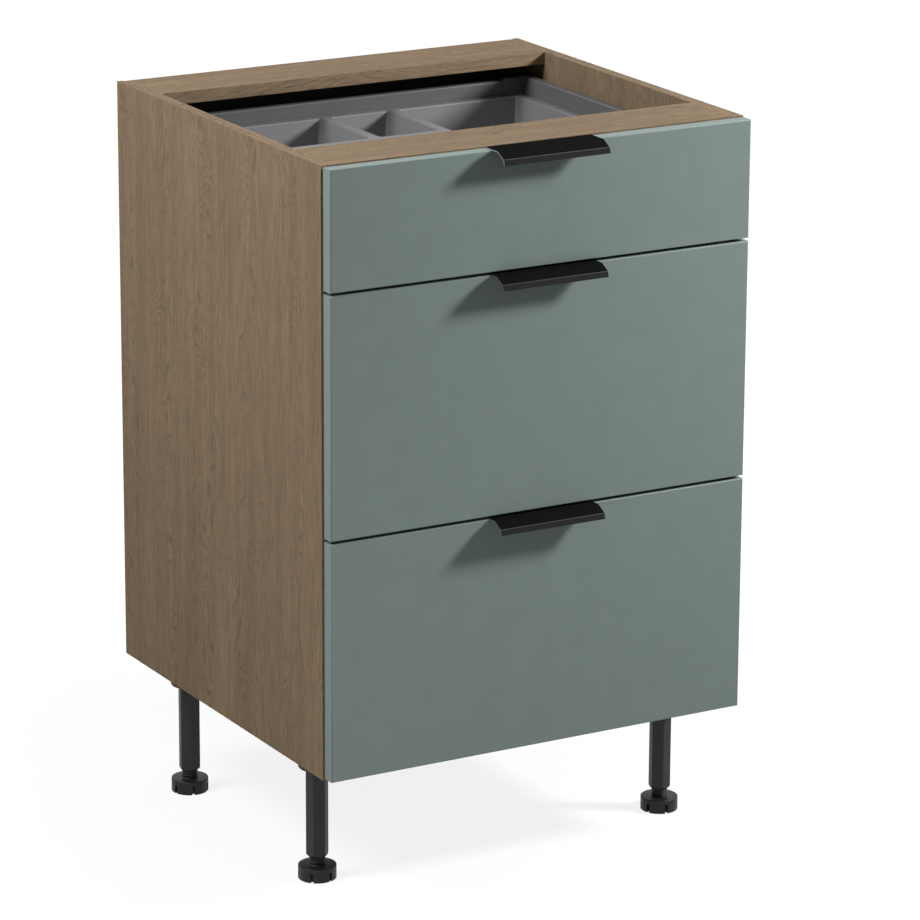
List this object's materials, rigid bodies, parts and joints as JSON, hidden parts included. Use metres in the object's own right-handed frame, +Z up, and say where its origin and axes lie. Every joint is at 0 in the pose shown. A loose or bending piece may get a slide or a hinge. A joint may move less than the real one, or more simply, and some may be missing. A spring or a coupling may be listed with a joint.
{
  "type": "kitchen base cabinet",
  "caption": "Kitchen base cabinet with stacked drawers behind plain fronts, angled edge handles, a cutlery tray and levelling legs.",
  "frame": {"origin": "centre of the bounding box's footprint, at floor level", "axes": "+Z up, -Y out of the drawer fronts, +X to the right seen from the front"},
  "size_m": [0.6, 0.61, 0.95],
  "materials": {
    "case_board": "brown-grey oak decor on chipboard, matt, with fine vertical grain",
    "back_board": "dark hardboard, smooth and matt",
    "front_lacquer": "grey-green matt lacquer on fibreboard",
    "handle_black": "fine black powder coat with bright cut ends",
    "drawer_steel": "dark grey powder coat, fine texture",
    "bracket_plastic": "grey moulded plastic",
    "drawer_base_board": "grey melamine face on chipboard",
    "runner_steel": "rolled galvanised steel",
    "catch_plastic": "grey moulded plastic",
    "tray_plastic": "grey thermoformed sheet with a fine grain",
    "leg_plastic": "black moulded plastic, finely eroded",
    "foot_plastic": "black moulded plastic",
    "zinc": "bright zinc plate",
    "beech": "plain beech"
  },
  "bodies": {
    "case": {"side_panel_left": "case_board", "side_panel_right": "case_board", "bottom_panel": "case_board", "back_panel": "back_board", "front_rail": "case_board", "rear_rail": "case_board", "panel_dowels": "beech", "cam_fittings": "zinc", "back_panel_screws": "zinc", "top_runner_rails": "runner_steel", "middle_runner_rails": "runner_steel", "bottom_runner_rails": "runner_steel", "runner_screws": "zinc", "leg_sockets": "leg_plastic", "leg_tubes": "leg_plastic", "leg_screws": "zinc"},
    "foot_front_left": {"foot_front_left": "foot_plastic"},
    "foot_front_right": {"foot_front_right": "foot_plastic"},
    "foot_rear_left": {"foot_rear_left": "foot_plastic"},
    "foot_rear_right": {"foot_rear_right": "foot_plastic"},
    "top_links": {"top_runner_links": "runner_steel"},
    "top_drawer": {"top_front": "front_lacquer", "top_handle": "handle_black", "top_side_left": "drawer_steel", "top_side_right": "drawer_steel", "top_back": "drawer_steel", "top_corner_brackets": "bracket_plastic", "top_front_brackets": "zinc", "top_base": "drawer_base_board", "top_slides": "runner_steel", "top_catches": "catch_plastic", "top_drawer_screws": "zinc", "cutlery_tray": "tray_plastic"},
    "middle_links": {"middle_runner_links": "runner_steel"},
    "middle_drawer": {"middle_front": "front_lacquer", "middle_handle": "handle_black", "middle_side_left": "drawer_steel", "middle_side_right": "drawer_steel", "middle_back": "drawer_steel", "middle_corner_brackets": "bracket_plastic", "middle_front_brackets": "zinc", "middle_base": "drawer_base_board", "middle_slides": "runner_steel", "middle_catches": "catch_plastic", "middle_drawer_screws": "zinc"},
    "bottom_links": {"bottom_runner_links": "runner_steel"},
    "bottom_drawer": {"bottom_front": "front_lacquer", "bottom_handle": "handle_black", "bottom_side_left": "drawer_steel", "bottom_side_right": "drawer_steel", "bottom_back": "drawer_steel", "bottom_corner_brackets": "bracket_plastic", "bottom_front_brackets": "zinc", "bottom_base": "drawer_base_board", "bottom_slides": "runner_steel", "bottom_catches": "catch_plastic", "bottom_drawer_screws": "zinc"}
  },
  "joints": [
    {"name": "top_drawer_slide", "type": "slide", "parent": "case", "child": "top_drawer", "axis": [0, -1, 0], "range_m": [0, 0.48]},
    {"name": "top_link_slide", "type": "slide", "parent": "case", "child": "top_links", "axis": [0, -1, 0], "range_m": [0, 0.24]},
    {"name": "middle_drawer_slide", "type": "slide", "parent": "case", "child": "middle_drawer", "axis": [0, -1, 0], "range_m": [0, 0.48]},
    {"name": "middle_link_slide", "type": "slide", "parent": "case", "child": "middle_links", "axis": [0, -1, 0], "range_m": [0, 0.24]},
    {"name": "bottom_drawer_slide", "type": "slide", "parent": "case", "child": "bottom_drawer", "axis": [0, -1, 0], "range_m": [0, 0.48]},
    {"name": "bottom_link_slide", "type": "slide", "parent": "case", "child": "bottom_links", "axis": [0, -1, 0], "range_m": [0, 0.24]},
    {"name": "foot_front_left_screw", "type": "slide", "parent": "case", "child": "foot_front_left", "axis": [0, 0, -1], "range_m": [-0.009, 0.02]},
    {"name": "foot_front_right_screw", "type": "slide", "parent": "case", "child": "foot_front_right", "axis": [0, 0, -1], "range_m": [-0.009, 0.02]},
    {"name": "foot_rear_left_screw", "type": "slide", "parent": "case", "child": "foot_rear_left", "axis": [0, 0, -1], "range_m": [-0.009, 0.02]},
    {"name": "foot_rear_right_screw", "type": "slide", "parent": "case", "child": "foot_rear_right", "axis": [0, 0, -1], "range_m": [-0.009, 0.02]}
  ],
  "couplings": [
    {"joint": "top_link_slide", "follows": "top_drawer_slide", "ratio": 0.5},
    {"joint": "middle_link_slide", "follows": "middle_drawer_slide", "ratio": 0.5},
    {"joint": "bottom_link_slide", "follows": "bottom_drawer_slide", "ratio": 0.5}
  ]
}
